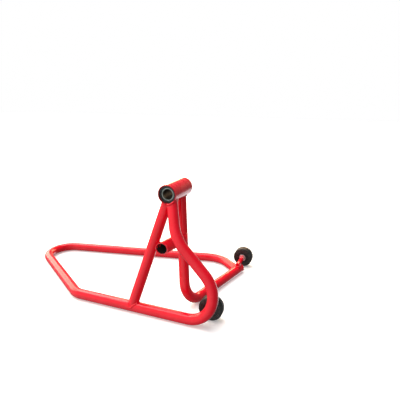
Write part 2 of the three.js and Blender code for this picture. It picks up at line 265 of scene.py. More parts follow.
def turned_mesh(name, profile_at, closed=True, sides=TURNED_SIDES, sharp_degrees=35):
    """A mesh turned about the Y axis; its outline may change with the angle."""
    points = []
    columns = 0
    for k in range(sides):
        angle = 2 * math.pi * k / sides
        profile = profile_at(angle)
        columns = len(profile)
        points += [(r * math.cos(angle), y, r * math.sin(angle)) for r, y in profile]
    return make_mesh(name, points, grid_faces(sides, columns, closed), sharp_degrees)


def seat(node):
    """The point on a turned node's axis at its near face."""
    low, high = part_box(node)
    return Vector(((low.x + high.x) / 2, low.y, (low.z + high.z) / 2))


def add_turned(node, look, body, corners, ease, closed=True, place=None):
    """A plain turned piece that stands for a node, from its [radius, y] corners."""
    outline = rounded(corners, ease, closed)
    mesh = turned_mesh(node, lambda angle: outline, closed)
    mark_wear(mesh)
    return add_piece(f"{node}_finish", mesh, look, body, [node], seat(node) if place is None else place)


def ring_corners(inner, outer, width):
    """The [radius, y] corners of a plain ring."""
    return [(inner, 0), (outer, 0), (outer, width), (inner, width)]


def width_of(node):
    """A node's length along the axle."""
    low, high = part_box(node)
    return high.y - low.y


# ---------- materials ----------
class Surface:
    """A node material round one Principled shader."""

    def __init__(self, name, sockets):
        self.material = bpy.data.materials.new(name)
        self.material.use_nodes = True
        self.tree = self.material.node_tree
        self.shader = self.tree.nodes["Principled BSDF"]
        self.normal = None
        for socket, value in sockets.items():
            self.shader.inputs[socket].default_value = value

    def add(self, kind, inputs, **settings):
        node = self.tree.nodes.new(kind)
        for setting, value in settings.items():
            setattr(node, setting, value)
        for socket, value in inputs.items():
            if isinstance(value, bpy.types.NodeSocket):
                self.tree.links.new(value, node.inputs[socket])
            else:
                node.inputs[socket].default_value = value
        return node

    def position(self, stretch=(1, 1, 1)):
        place = self.add("ShaderNodeTexCoord", {}).outputs["Object"]
        return self.add("ShaderNodeMapping", {"Vector": place, "Scale": stretch}).outputs["Vector"]

    def circular(self, across, along, around):
        """Coordinates of radius, depth and turn round the Y axis, for turned marks."""
        parts = self.add("ShaderNodeSeparateXYZ", {"Vector": self.position()})
        flat = self.add("ShaderNodeCombineXYZ", {"X": parts.outputs["X"], "Y": parts.outputs["Z"]})
        radius = self.add("ShaderNodeVectorMath", {0: flat.outputs["Vector"]}, operation="LENGTH")
        turn = self.add(
            "ShaderNodeVectorMath", {0: flat.outputs["Vector"]}, operation="NORMALIZE")
        turn_parts = self.add("ShaderNodeSeparateXYZ", {"Vector": turn.outputs["Vector"]})
        joined = self.add("ShaderNodeCombineXYZ", {
            "X": radius.outputs["Value"], "Y": parts.outputs["Y"], "Z": turn_parts.outputs["X"]})
        mapping = self.add("ShaderNodeMapping", {
            "Vector": joined.outputs["Vector"], "Scale": (across, along, around)})
        return mapping.outputs["Vector"]

    def noise(self, scale, detail=3, vector=None, roughness=0.55):
        where = self.position() if vector is None else vector
        return self.add("ShaderNodeTexNoise", {
            "Vector": where, "Scale": scale, "Detail": detail, "Roughness": roughness,
        }).outputs["Fac"]

    def spread(self, source, low, high, to_low=0.0, to_high=1.0):
        return self.add("ShaderNodeMapRange", {
            "Value": source, "From Min": low, "From Max": high, "To Min": to_low, "To Max": to_high,
        }).outputs["Result"]

    def times(self, first, second):
        return self.add("ShaderNodeMath", {0: first, 1: second}, operation="MULTIPLY").outputs[0]

    def height(self):
        """Height above the floor."""
        where = self.add("ShaderNodeNewGeometry", {}).outputs["Position"]
        return self.add("ShaderNodeSeparateXYZ", {"Vector": where}).outputs["Z"]

    def marked(self, name):
        return self.add("ShaderNodeAttribute", {}, attribute_name=name).outputs["Fac"]

    def mix(self, factor, first, second):
        node = self.add("ShaderNodeMix", {0: factor, 6: first, 7: second}, data_type="RGBA")
        return node.outputs[2]

    def feed(self, socket, source):
        self.tree.links.new(source, self.shader.inputs[socket])

    def bump(self, height, strength, distance):
        inputs = {"Height": height, "Strength": strength, "Distance": distance}
        if self.normal is not None:
            inputs["Normal"] = self.normal
        self.normal = self.add("ShaderNodeBump", inputs).outputs["Normal"]
        self.feed("Normal", self.normal)


def red_powder_coat():
    """Glossy red powder coat: orange peel, slight shade changes, dust, chipped edges, and painted shade
    inside the tubes and on the socket's bore and end faces.
    """
    paint = Surface("red_powder_coat", {
        "IOR": 1.5, "Specular IOR Level": 0.05, "Coat IOR": 1.38,
        "Coat Roughness": 0.05})
    shade = paint.spread(paint.noise(16, 4), 0.35, 0.65)
    colour = paint.mix(shade, (0.80, 0.0025, 0.015, 1), (0.89, 0.0035, 0.021, 1))
    flecks = paint.spread(paint.noise(900, 2), 0.64, 0.74, 0, 0.035)
    colour = paint.mix(flecks, colour, (0.88, 0.16, 0.17, 1))
    dust = paint.spread(paint.noise(46, 6, paint.position((1, 1, 2.5))), 0.62, 0.80, 0, 0.03)
    colour = paint.mix(dust, colour, (0.80, 0.42, 0.38, 1))
    chips = paint.spread(paint.noise(240, 4), 0.57, 0.61)
    worn = paint.times(chips, paint.marked("wear"))
    near_floor = paint.spread(paint.height(), 0.0016, 0.0002)
    rubbed = paint.times(near_floor, paint.spread(paint.noise(130, 5), 0.46, 0.56))
    colour = paint.mix(worn, colour, (0.16, 0.13, 0.13, 1))
    colour = paint.mix(rubbed, colour, (0.20, 0.18, 0.17, 1))
    # Painted shade: tube inner walls and the socket's bore and end faces turn towards near black; the same
    # mask thins and roughens the coat.
    thin_coat_and_painted_shade = paint.marked("thin_coat_and_painted_shade")
    colour = paint.mix(thin_coat_and_painted_shade, colour, (0.022, 0.018, 0.016, 1))
    bare = paint.marked("bare")
    paint.feed("Base Color", paint.mix(bare, colour, (0.42, 0.42, 0.40, 1)))
    paint.feed("Metallic", bare)
    gloss = paint.spread(paint.noise(60, 5), 0.3, 0.7, 0.20, 0.36)
    paint.feed("Roughness", paint.spread(thin_coat_and_painted_shade, 0, 1, gloss, 0.8))
    paint.feed("Coat Weight", paint.spread(thin_coat_and_painted_shade, 0, 0.9, 1, 0.05))
    paint.bump(paint.noise(520, 2, roughness=0.4), 0.10, 0.0004)
    paint.bump(worn, 0.4, -0.0003)
    return paint.material


def ground_steel():
    """Bearing steel with fine turned lines and faint tea staining; its colour is held dark as painted shade.
    """
    steel = Surface("ground_steel", {"Metallic": 1.0})
    lines = steel.noise(1, 4, steel.circular(5200, 5200, 6))
    stain = steel.spread(steel.noise(170, 4), 0.42, 0.68)
    # Painted shade: both steel tones are kept dark, for races that sit deep in the socket.
    colour = steel.mix(stain, (0.24, 0.28, 0.255, 1), (0.15, 0.17, 0.15, 1))
    steel.feed("Base Color", colour)
    steel.feed("Roughness", steel.spread(lines, 0.3, 0.7, 0.20, 0.42))
    steel.bump(lines, 0.18, 0.00006)
    return steel.material


def painted_shade_steel():
    """The sleeve between the bearings, and the bearings' outer races: turned steel, coloured near black as
    painted shade.
    """
    steel = Surface("painted_shade_steel", {"Metallic": 0.4, "Specular IOR Level": 0.2})
    lines = steel.noise(1, 4, steel.circular(3000, 3000, 5))
    film = steel.spread(steel.noise(120, 4), 0.35, 0.65)
    # Painted shade: near-black steel, in two dark tones at random.
    steel.feed("Base Color", steel.mix(film, (0.050, 0.055, 0.052, 1), (0.022, 0.022, 0.020, 1)))
    steel.feed("Roughness", steel.spread(lines, 0.3, 0.7, 0.40, 0.58))
    steel.bump(lines, 0.15, 0.00006)
    return steel.material


def seal_rubber():
    """Black nitrile lip with a greasy film."""
    rubber = Surface("seal_rubber", {"IOR": 1.5})
    film = rubber.spread(rubber.noise(330, 4), 0.38, 0.66)
    rubber.feed("Base Color", rubber.mix(film, (0.009, 0.009, 0.010, 1), (0.022, 0.023, 0.022, 1)))
    rubber.feed("Roughness", rubber.spread(film, 0, 1, 0.34, 0.62))
    rubber.bump(rubber.noise(2600, 2), 0.12, 0.00008)
    return rubber.material


def spring_steel():
    """Phosphated spring steel: near black, brighter where its edges rub."""
    steel = Surface("phosphated_spring_steel", {"Metallic": 0.75})
    grain = steel.noise(1500, 4)
    rubbed = steel.times(steel.marked("wear"), steel.spread(steel.noise(420, 3), 0.42, 0.6, 0.1, 0.8))
    colour = steel.mix(steel.spread(grain, 0.3, 0.7), (0.016, 0.016, 0.018, 1), (0.040, 0.040, 0.044, 1))
    steel.feed("Base Color", steel.mix(rubbed, colour, (0.30, 0.30, 0.31, 1)))
    steel.feed("Roughness", steel.spread(grain, 0.3, 0.7, 0.38, 0.60))
    steel.bump(grain, 0.2, 0.00005)
    return steel.material


def zinc_plate():
    """Bright zinc plating with its slight yellow and blue cast and white bloom."""
    zinc = Surface("zinc_plate", {"Metallic": 1.0})
    cast = zinc.spread(zinc.noise(120, 3), 0.35, 0.65)
    colour = zinc.mix(cast, (0.66, 0.69, 0.74, 1), (0.76, 0.73, 0.64, 1))
    bloom = zinc.spread(zinc.noise(700, 5), 0.56, 0.72, 0, 0.55)
    zinc.feed("Base Color", zinc.mix(bloom, colour, (0.58, 0.59, 0.58, 1)))
    zinc.feed("Roughness", zinc.spread(zinc.noise(380, 5), 0.3, 0.7, 0.24, 0.46))
    zinc.bump(zinc.noise(1700, 3), 0.15, 0.00006)
    return zinc.material


def wheel_rubber():
    """Hard black wheel rubber: scuffed tread, grey dust, moulded grain."""
    rubber = Surface("wheel_rubber", {"IOR": 1.52, "Specular IOR Level": 0.28})
    tone = rubber.spread(rubber.noise(60, 5), 0.35, 0.68)
    colour = rubber.mix(tone, (0.006, 0.0065, 0.007, 1), (0.015, 0.016, 0.016, 1))
    scuffs = rubber.noise(1, 5, rubber.circular(60, 900, 14))
    dusty = rubber.times(rubber.marked("wear"), rubber.spread(scuffs, 0.42, 0.66, 0.1, 0.75))
    marks = rubber.spread(scuffs, 0.60, 0.74, 0, 0.30)
    colour = rubber.mix(marks, colour, (0.10, 0.10, 0.095, 1))
    rubber.feed("Base Color", rubber.mix(dusty, colour, (0.11, 0.11, 0.10, 1)))
    rubber.feed("Roughness", rubber.spread(scuffs, 0.3, 0.7, 0.30, 0.55))
    rubber.bump(rubber.noise(1400, 3), 0.22, 0.00012)
    rubber.bump(scuffs, 0.15, 0.0002)
    return rubber.material


def black_nylon():
    """Moulded black nylon with a fine spark-eroded grain and flow marks."""
    nylon = Surface("black_nylon", {"IOR": 1.53, "Specular IOR Level": 0.35})
    flow = nylon.noise(1, 4, nylon.circular(160, 160, 3))
    colour = nylon.mix(nylon.spread(flow, 0.3, 0.7), (0.008, 0.008, 0.009, 1), (0.020, 0.020, 0.020, 1))
    scuffed = nylon.times(nylon.marked("wear"), nylon.spread(nylon.noise(300, 3), 0.45, 0.62, 0, 0.5))
    nylon.feed("Base Color", nylon.mix(scuffed, colour, (0.09, 0.09, 0.09, 1)))
    nylon.feed("Roughness", nylon.spread(flow, 0.3, 0.7, 0.34, 0.52))
    nylon.bump(nylon.noise(2300, 2), 0.25, 0.00008)
    return nylon.material


def sintered_bronze():
    """Oil-soaked sintered bronze with open pores."""
    bronze = Surface("sintered_bronze", {"Metallic": 1.0})
    pores = bronze.spread(bronze.noise(3000, 2), 0.60, 0.68)
    tone = bronze.spread(bronze.noise(240, 4), 0.35, 0.65)
    colour = bronze.mix(tone, (0.58, 0.36, 0.14, 1), (0.44, 0.25, 0.10, 1))
    bronze.feed("Base Color", bronze.mix(pores, colour, (0.10, 0.06, 0.03, 1)))
    bronze.feed("Roughness", bronze.spread(pores, 0, 1, 0.30, 0.65))
    bronze.bump(pores, 0.4, -0.00008)
    return bronze.material


def white_nylon():
    """Off-white nylon, a little translucent, cut by the thread and lightly soiled."""
    nylon = Surface("white_nylon", {"IOR": 1.53, "Subsurface Weight": 0.2, "Subsurface Scale": 0.002})
    soil = nylon.spread(nylon.noise(500, 4), 0.45, 0.75, 0, 0.6)
    nylon.feed("Base Color", nylon.mix(soil, (0.78, 0.76, 0.68, 1), (0.48, 0.45, 0.38, 1)))
    nylon.feed("Roughness", nylon.spread(nylon.noise(900, 3), 0.3, 0.7, 0.35, 0.55))
    nylon.bump(nylon.noise(1800, 2), 0.12, 0.00006)
    return nylon.material


RED = ("red_paint", red_powder_coat())
STEEL = ("bearing_steel", ground_steel())
PAINTED_SHADE_STEEL = ("bearing_steel", painted_shade_steel())
SEAL = ("seal_rubber", seal_rubber())
SPRING = ("spring_steel", spring_steel())
ZINC = ("zinc_steel", zinc_plate())
RUBBER = ("wheel_rubber", wheel_rubber())
NYLON = ("wheel_nylon", black_nylon())
BRONZE = ("bronze", sintered_bronze())
INSERT = ("white_nylon", white_nylon())


# ---------- welds ----------
WELD_RADIUS = 0.0024
WELD_RIPPLE = 0.0024
WELD_SAMPLE = 0.0008
WELD_SIDES = 10
WELD_SWELL = 0.22                  # how much wider than its bead a ripple gets
WELD_LEAST_HEIGHT = 1.25           # how high a bead's centre stays over the floor, in bead radii
CAP_WELD_RADIUS = 0.0013
BRACE_WELD_RADIUS = 0.0027
FAR_STUD_WELD_RADIUS = 0.0028


def evenly_spaced(loop, spacing):
    """Points at equal steps round a closed loop."""
    lengths = [(b - a).length for a, b in zip(loop, loop[1:] + loop[:1])]
    count = max(12, round(sum(lengths) / spacing))
    step = sum(lengths) / count
    spaced = []
    edge = 0
    passed = 0
    for k in range(count):
        while passed + lengths[edge] < k * step and edge < len(loop) - 1:
            passed += lengths[edge]
            edge += 1
        share = (k * step - passed) / max(lengths[edge], 1e-9)
        spaced.append(loop[edge].lerp(loop[(edge + 1) % len(loop)], min(share, 1)))
    return spaced


def add_weld(name, loop, radius=WELD_RADIUS):
    """A bead of overlapping ripples laid round a closed loop."""
    centres = evenly_spaced(loop, WELD_SAMPLE)
    for centre in centres:
        centre.z = max(centre.z, WELD_LEAST_HEIGHT * radius)
    count = len(centres)
    middle = sum(centres, Vector()) / count
    ripples = max(8, round(count * WELD_SAMPLE / WELD_RIPPLE))
    points = []
    for i, centre in enumerate(centres):
        along = (centres[(i + 1) % count] - centres[i - 1]).normalized()
        outward = centre - middle
        outward = (outward - along * outward.dot(along)).normalized()
        other = along.cross(outward)
        for k in range(WELD_SIDES):
            angle = 2 * math.pi * k / WELD_SIDES
            phase = (i / count * ripples + 0.3 * math.cos(angle)) % 1
            swell = radius * (1 + WELD_SWELL * math.sin(math.pi * phase) ** 0.6)
            points.append(centre + (outward * math.cos(angle) + other * math.sin(angle)) * swell)
    mesh = make_mesh(name, points, grid_faces(count, WELD_SIDES), 80)
    add_piece(name, mesh, RED, "frame")


# ---------- welded frame ----------
AXLE = Vector((0, 1, 0))
SOCKET_POINT = at(0, 0, AXLE_Z)
main_path = bent_path(
    [FAR_CORNER, FAR_BEND, HANDLE_TIP, HANDLE_BEND, NEAR_CORNER, FRONT_KNEE, FRONT_HIP, FRONT_TOP],
    MAIN_BENDS)
rear_run = (FAR_CORNER - REAR_FOOT).normalized()
rear_end = FAR_CORNER + rear_run * REAR_OVERRUN
rear_path = bent_path([rear_end, REAR_FOOT, REAR_TOP], REAR_BENDS)
front_run = main_path[-1][1]
rear_rise = rear_path[-1][1]
left_rise = (LEFT_TOP - LEFT_FOOT).normalized()
brace_run = (BRACE_END - BRACE_MOUTH).normalized()

sunk_radius = TUBE_RADIUS - WELD_SINK
onto_socket = onto_tube(SOCKET_POINT, AXLE, SOCKET_RADIUS - WELD_SINK)
onto_front_leg = onto_tube(FRONT_TOP, front_run, sunk_radius)
onto_rear_run = onto_tube(FAR_CORNER, rear_run, sunk_radius)
onto_rear_leg = onto_tube(REAR_TOP, rear_rise, sunk_radius)
onto_near_run = onto_tube(NEAR_CORNER, Vector((1, 0, 0)), sunk_radius)


def onto_socket_or_front_leg(start, direction):
    """The left leg's side lines stop at the front leg where they meet it first."""
    socket = onto_socket(start, direction)
    return min(socket, onto_front_leg(start, direction, misses=socket))


def build_frame():
    main_ends = build_tube("main_tube", main_path, start_trim=onto_rear_run, end_trim=onto_socket)
    left_ends = build_tube(
        "left_leg", bent_path([LEFT_FOOT + left_rise * 4 * TUBE_RADIUS, LEFT_TOP]),
        start_trim=onto_near_run, end_trim=onto_socket_or_front_leg)
    rear_ends = build_tube("rear_tube", rear_path, end_trim=onto_socket)
    brace_ends = build_tube(
        "lower_cross_tube", bent_path([BRACE_MOUTH, BRACE_END]), BRACE_RADIUS, BRACE_WALL,
        start_trim=onto_plane(BRACE_MOUTH, AXLE), end_trim=onto_rear_leg)
    add_weld("front_leg_top_weld", main_ends[1])
    add_weld("far_corner_weld", main_ends[0])
    add_weld("left_leg_foot_weld", left_ends[0])
    add_weld("left_leg_top_weld", left_ends[1])
    add_weld("rear_leg_top_weld", rear_ends[1])
    add_weld("cross_tube_far_weld", brace_ends[1])
    add_brace_weld()
    add_end_cap(rear_ends[0])


def add_brace_weld():
    """Pad of weld where the cross tube's side lies against the left leg."""
    set_back = 0.004
    half_length = 0.010
    half_width = 0.0045
    steps = 40
    between = left_rise.cross(brace_run).normalized()
    if between.x > 0:
        between = -between
    centre = BRACE_MOUTH + between * BRACE_RADIUS + brace_run * set_back
    long_way = left_rise
    short_way = between.cross(left_rise)
    loop = []
    for k in range(steps):
        angle = 2 * math.pi * k / steps
        lengthwise = long_way * half_length * math.cos(angle)
        loop.append(centre + lengthwise + short_way * half_width * math.sin(angle))
    add_weld("cross_tube_near_weld", loop, BRACE_WELD_RADIUS)


def add_end_cap(rim):
    """Pressed cap on the rear tube's end, with the seam where it was welded."""
    crown_height = 0.0035
    skirt_depth = 0.004
    skirt_radius = 0.0114
    seam = 0.0002
    bead_set_back = 0.0003
    bead_sink = 0.06               # share of the tube's radius by which the bead lies within its edge
    steps = 8
    outline = [Vector((0, -skirt_depth)), Vector((skirt_radius, -skirt_depth)), Vector((skirt_radius, seam))]
    for k in range(steps + 1):
        angle = math.pi / 2 * k / steps
        outline.append(Vector((TUBE_RADIUS * math.cos(angle), seam + crown_height * math.sin(angle))))
    outline[-1].x = 0
    mesh = turned_mesh("rear_tube_end_cap", lambda angle: outline, False)
    mark_wear(mesh)
    cap = add_piece("rear_tube_end_cap_finish", mesh, RED, "frame", ["rear_tube_end_cap"])
    cap.matrix_world = (
        Matrix.Translation(rear_end) @ AXLE.rotation_difference(rear_run).to_matrix().to_4x4())
    loop = [p - rear_run * bead_set_back - (p - rear_end) * bead_sink for p in rim]
    add_weld("end_cap_weld", loop, CAP_WELD_RADIUS)


# ---------- axle socket ----------
BEARING_RADIUS = 0.0235
BEARING_BORE = 0.015
BEARING_WIDTH = 0.009
BEARING_SET_BACK = 0.006
OUTER_LIP = 0.0206
INNER_LIP = 0.0179
BALL_RADIUS = 0.0026
BALL_PITCH = 0.01925
BALL_COUNT = 11
CIRCLIP_SET_BACK = 0.004
CIRCLIP_THICKNESS = 0.0017
CIRCLIP_GROOVE = 0.0249
SHOULDER_BORE = 0.021              # the socket's bore between its two bearing seats
SOCKET_EASE = 0.0009
FIT = 0.0003
BORE_PAINTED_SHADE = 0.72                  # how far the socket's bore is darkened as painted shade
FACE_PAINTED_SHADE = 0.45                  # and its two end faces, also painted shade


def build_socket():
    """Socket tube with a bearing seat and a circlip groove at each end."""
    bore = BEARING_RADIUS + FIT / 2
    groove_start = CIRCLIP_SET_BACK - FIT
    groove_end = CIRCLIP_SET_BACK + CIRCLIP_THICKNESS + FIT
    shoulder = BEARING_SET_BACK + BEARING_WIDTH + FIT
    near = [(SHOULDER_BORE, shoulder), (bore, shoulder), (bore, groove_end), (CIRCLIP_GROOVE, groove_end),
            (CIRCLIP_GROOVE, groove_start), (bore, groove_start), (bore, 0), (SOCKET_RADIUS, 0)]
    far = [(r, SOCKET_LENGTH - y) for r, y in reversed(near)]
    socket = add_turned("socket_tube", RED, "frame", near + far, SOCKET_EASE)
    # Painted shade: the bore and the two end faces are darkened, and their coat thinned.
    shades = []
    for vertex in socket.data.vertices:
        radius = math.hypot(vertex.co.x, vertex.co.z)
        from_end = min(vertex.co.y, SOCKET_LENGTH - vertex.co.y)
        in_bore = radius < CIRCLIP_GROOVE + FIT
        on_face = from_end < 0.0003 and radius < SOCKET_RADIUS - 0.0004
        shades.append(BORE_PAINTED_SHADE if in_bore else FACE_PAINTED_SHADE if on_face else 0)
    thin_coat_and_painted_shade = socket.data.attributes.new("thin_coat_and_painted_shade", "FLOAT", "POINT")
    thin_coat_and_painted_shade.data.foreach_set("value", shades)


def groove_points(lip, side):
    """Half-round ball track from one lip to the other."""
    track = BALL_RADIUS + FIT
    opening = math.acos(abs(lip - BALL_PITCH) / track)
    steps = 8
    points = []
    for k in range(steps + 1):
        angle = -opening + 2 * opening * k / steps
        points.append((BALL_PITCH + side * track * math.cos(angle),
                       BEARING_WIDTH / 2 + track * math.sin(angle)))
    return points


def build_bearing(end, seals):
    outer = BEARING_RADIUS - FIT / 2
    add_turned(
        f"{end}_bearing_outer_race", PAINTED_SHADE_STEEL, "frame",
        [(OUTER_LIP, 0), (outer, 0), (outer, BEARING_WIDTH), (OUTER_LIP, BEARING_WIDTH)]
        + groove_points(OUTER_LIP, 1)[::-1], 0.0004)
    add_turned(
        f"{end}_bearing_inner_race", STEEL, "pin_carrier",
        [(BEARING_BORE, 0), (INNER_LIP, 0)] + groove_points(INNER_LIP, -1)
        + [(INNER_LIP, BEARING_WIDTH), (BEARING_BORE, BEARING_WIDTH)], 0.0004)
    add_balls(f"{end}_bearing_caged_balls", f"{end}_ball_cage")
    for side in seals:
        add_seal(f"{end}_bearing_{side}_seal", side == seals[0])


def add_balls(node, body):
    """Balls in a pressed ribbon cage that swells round each of them."""
    def ribbon(angle):
        nearest = abs((angle * BALL_COUNT / (2 * math.pi) + 0.5) % 1 - 0.5) * 2
        half = 0.0011 + 0.0019 * math.cos(min(nearest / 0.62, 1) * math.pi / 2) ** 0.7
        return rounded([(BALL_PITCH - 0.0004, -half), (BALL_PITCH + 0.0004, -half),
                        (BALL_PITCH + 0.0004, half), (BALL_PITCH - 0.0004, half)], 0.0002)
    mesh = turned_mesh(node, ribbon, sides=22 * BALL_COUNT)
    bm = bmesh.new()
    bm.from_mesh(mesh)
    for k in range(BALL_COUNT):
        angle = 2 * math.pi * k / BALL_COUNT
        place = Matrix.Translation((BALL_PITCH * math.cos(angle), 0, BALL_PITCH * math.sin(angle)))
        bmesh.ops.create_icosphere(bm, subdivisions=3, radius=BALL_RADIUS, matrix=place)
    for face in bm.faces:
        face.smooth = True
    bm.to_mesh(mesh)
    bm.free()
    low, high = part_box(node)
    add_piece(f"{node}_finish", mesh, STEEL, body, [node], (low + high) / 2)


def add_seal(node, face_first):
    """Moulded seal with a raised bead, a dished web and a thin lip."""
    width = width_of(node)
    inner = INNER_LIP + FIT
    outer = OUTER_LIP - FIT
    face = [(inner, 0.00035), (inner + 0.0005, 0.00015), (inner + 0.0009, 0.00045),
            (outer - 0.0007, 0.00045), (outer - 0.0004, 0.00005), (outer, 0.00005)]
    outline = face + [(outer, width), (inner, width)]
    if not face_first:
        outline = [(r, width - y) for r, y in reversed(outline)]
    add_turned(node, SEAL, "frame", outline, 0.0002)


def add_circlip(node):
    """Internal circlip: a sprung band with two eyed lugs either side of its gap."""
    outer = CIRCLIP_GROOVE - FIT
    inner = outer - 0.004
    lug_end = inner - 0.003
    half_gap = 0.2
    lug_edge = half_gap + 0.26
    band_start = lug_edge + 0.12
    eye_angle = (half_gap + lug_edge) / 2
    eye_distance = (inner + lug_end) / 2 + 0.0006

    def arc(radius, start, end, steps):
        return [(radius * math.cos(a), radius * math.sin(a))
                for a in (start + (end - start) * k / steps for k in range(steps + 1))]

    outline = arc(outer, half_gap, 2 * math.pi - half_gap, 120)
    outline += arc(lug_end, -half_gap, -lug_edge, 6)
    outline += arc(inner, 2 * math.pi - band_start, band_start, 110)
    outline += arc(lug_end, lug_edge, half_gap, 6)
    curve = bpy.data.curves.new(node, "CURVE")
    curve.dimensions = "2D"
    curve.fill_mode = "BOTH"
    bevel = 0.00015
    curve.extrude = CIRCLIP_THICKNESS / 2 - bevel
    curve.bevel_depth = bevel
    curve.offset = -bevel
    curve.bevel_resolution = 2
    holes = []
    for angle in (eye_angle, -eye_angle):
        centre = (eye_distance * math.cos(angle), eye_distance * math.sin(angle))
        holes.append([(centre[0] + x, centre[1] + y) for x, y in arc(0.001, 0, 2 * math.pi, 20)[:-1]])
    for points in [outline] + holes:
        spline = curve.splines.new("POLY")
        spline.points.add(len(points) - 1)
        for target, (x, y) in zip(spline.points, points):
            target.co = (x, y, 0, 1)
        spline.use_cyclic_u = True
    flat = bpy.data.objects.new(node, curve)
    bpy.context.scene.collection.objects.link(flat)
    bpy.context.view_layer.update()
    mesh = bpy.data.meshes.new_from_object(flat)
    bpy.data.objects.remove(flat)
    bpy.data.curves.remove(curve)
    bm = bmesh.new()
    bm.from_mesh(mesh)
    bmesh.ops.remove_doubles(bm, verts=bm.verts, dist=1e-6)
    bmesh.ops.recalc_face_normals(bm, faces=bm.faces)
    bm.to_mesh(mesh)
    bm.free()
    # The outline lies in XY with its gap to +X; stand it in XZ with the gap down.
    mesh.transform(Matrix.Rotation(math.radians(90), 4, "Y") @ Matrix.Rotation(math.radians(90), 4, "X"))
    mesh.shade_smooth()
    mesh.set_sharp_from_angle(angle=math.radians(35))
    mark_wear(mesh)
    low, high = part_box(node)
    place = Vector((AXLE_X, (low.y + high.y) / 2, AXLE_Z))
    add_piece(f"{node}_finish", mesh, SPRING, "frame", [node], place)


def build_pin_carrier():
    length = width_of("pin_sleeve")
    add_turned("pin_sleeve", PAINTED_SHADE_STEEL, "pin_carrier",
               ring_corners(BEARING_BORE, INNER_LIP - FIT, length), 0.0005)


# ---------- wheels ----------
WHEEL_RADIUS = 0.034
WHEEL_WIDTH = 0.028
CORE_RADIUS = 0.023
STUD_RADIUS = 0.008
JOURNAL_RADIUS = 0.006
WASHER_RADIUS = 0.012
WASHER_WIDTH = 0.002
NUT_FLATS = 0.018
NUT_HEX = 0.007
NUT_COLLAR = 0.0035
THREAD_PITCH = 0.00175
THREAD_DEPTH = 0.0009
THREAD_LENGTH = 0.0145
TYRE_SHOULDER = 0.0038
INSERT_SEAT = 0.0028               # how deep the nut's insert sits in its collar


def mirrored(half):
    """An outline's near half followed by its mirror image."""
    return half + [(r, WHEEL_WIDTH - y) for r, y in reversed(half)]


def build_tyre(end, place):
    """Tyre with rounded shoulders, a raised ring on each side and a mould line."""
    rim = WHEEL_RADIUS
    shoulder = [
        (rim - TYRE_SHOULDER + TYRE_SHOULDER * math.sin(a), TYRE_SHOULDER - TYRE_SHOULDER * math.cos(a))
        for a in (math.radians(d) for d in range(0, 91, 10))]
    middle = WHEEL_WIDTH / 2
    half = [(CORE_RADIUS + FIT, 0.0006), (rim - 0.0078, 0.0005), (rim - 0.0074, 0.0001),
            (rim - 0.0060, 0.0001), (rim - 0.0056, 0.0005), (rim - 0.0042, 0.0004)]
    half += shoulder[1:] + [(rim, middle - 0.0007), (rim + 0.0002, middle - 0.0003)]
    outline = mirrored(half)
    mesh = turned_mesh(f"{end}_wheel_tyre", lambda angle: outline, sides=128, sharp_degrees=50)
    mark_wear(mesh, 4, 18)
    node = f"{end}_wheel_tyre"
    add_piece(f"{node}_finish", mesh, RUBBER, f"{end}_wheel", [node], place)


def build_core(end, place):
    """Nylon centre with ribs across the dish between hub and rim."""
    bore = STUD_RADIUS + FIT
    hub = 0.014
    rim = CORE_RADIUS - 0.0025
    ribs = 6
    depth = 0.0025
    rib_reach = 0.13               # angle from a rib's middle to its foot
    rib_slope = 0.05               # and the part of it that slopes

    def profile(angle):
        off = abs((angle * ribs / (2 * math.pi) + 0.5) % 1 - 0.5) * 2 * math.pi / ribs
        rise = min(max((rib_reach - off) / rib_slope, 0), 1)
        web = depth - (depth - 0.0006) * rise * rise * (3 - 2 * rise)
        half = rounded(
            [(bore, 0), (hub, 0), (hub + 0.0003, web), (rim - 0.0003, web), (rim, 0.0004),
             (CORE_RADIUS, 0.0004), (CORE_RADIUS, 0.004)], 0.0005, closed=False)
        return mirrored([tuple(p) for p in half])

    node = f"{end}_wheel_core"
    mesh = turned_mesh(node, profile, sides=180, sharp_degrees=40)
    mark_wear(mesh)
    add_piece(f"{node}_finish", mesh, NYLON, f"{end}_wheel", [node], place)


def build_nut(end):
    """Hexagon nut with chamfered corners and a round collar over its insert."""
    node = f"{end}_lock_nut"
    top = NUT_HEX + NUT_COLLAR
    apothem = NUT_FLATS / 2
    collar = apothem - 0.0006
    insert = collar - 0.0012
    chamfer_start = apothem - 0.0004
    slope = math.tan(math.radians(30))

    def profile(angle):
        off_flat = (angle + math.pi / 6) % (math.pi / 3) - math.pi / 6
        edge = apothem / math.cos(math.pi / 6 - abs(off_flat))
        cut = (edge - chamfer_start) * slope
        bore = JOURNAL_RADIUS + FIT
        return [(bore + 0.0008, 0), (chamfer_start, 0), (edge, cut), (edge, NUT_HEX - cut),
                (chamfer_start, NUT_HEX), (collar, NUT_HEX + 0.0002), (collar, top - 0.0006),
                (collar - 0.0002, top - 0.0002), (collar - 0.0006, top), (insert + 0.0004, top),
                (insert + FIT, top - 0.0004), (insert + FIT, top - INSERT_SEAT), (bore, top - INSERT_SEAT),
                (bore, 0.0008)]

    mesh = turned_mesh(node, profile, sides=144, sharp_degrees=28)
    mark_wear(mesh, 14, 40)
    add_piece(f"{node}_finish", mesh, ZINC, "frame", [node], seat(node))
    insert_node = f"{end}_nut_insert"
    add_turned(insert_node, INSERT, "frame",
               ring_corners(JOURNAL_RADIUS + FIT, insert, width_of(insert_node)), 0.0004)


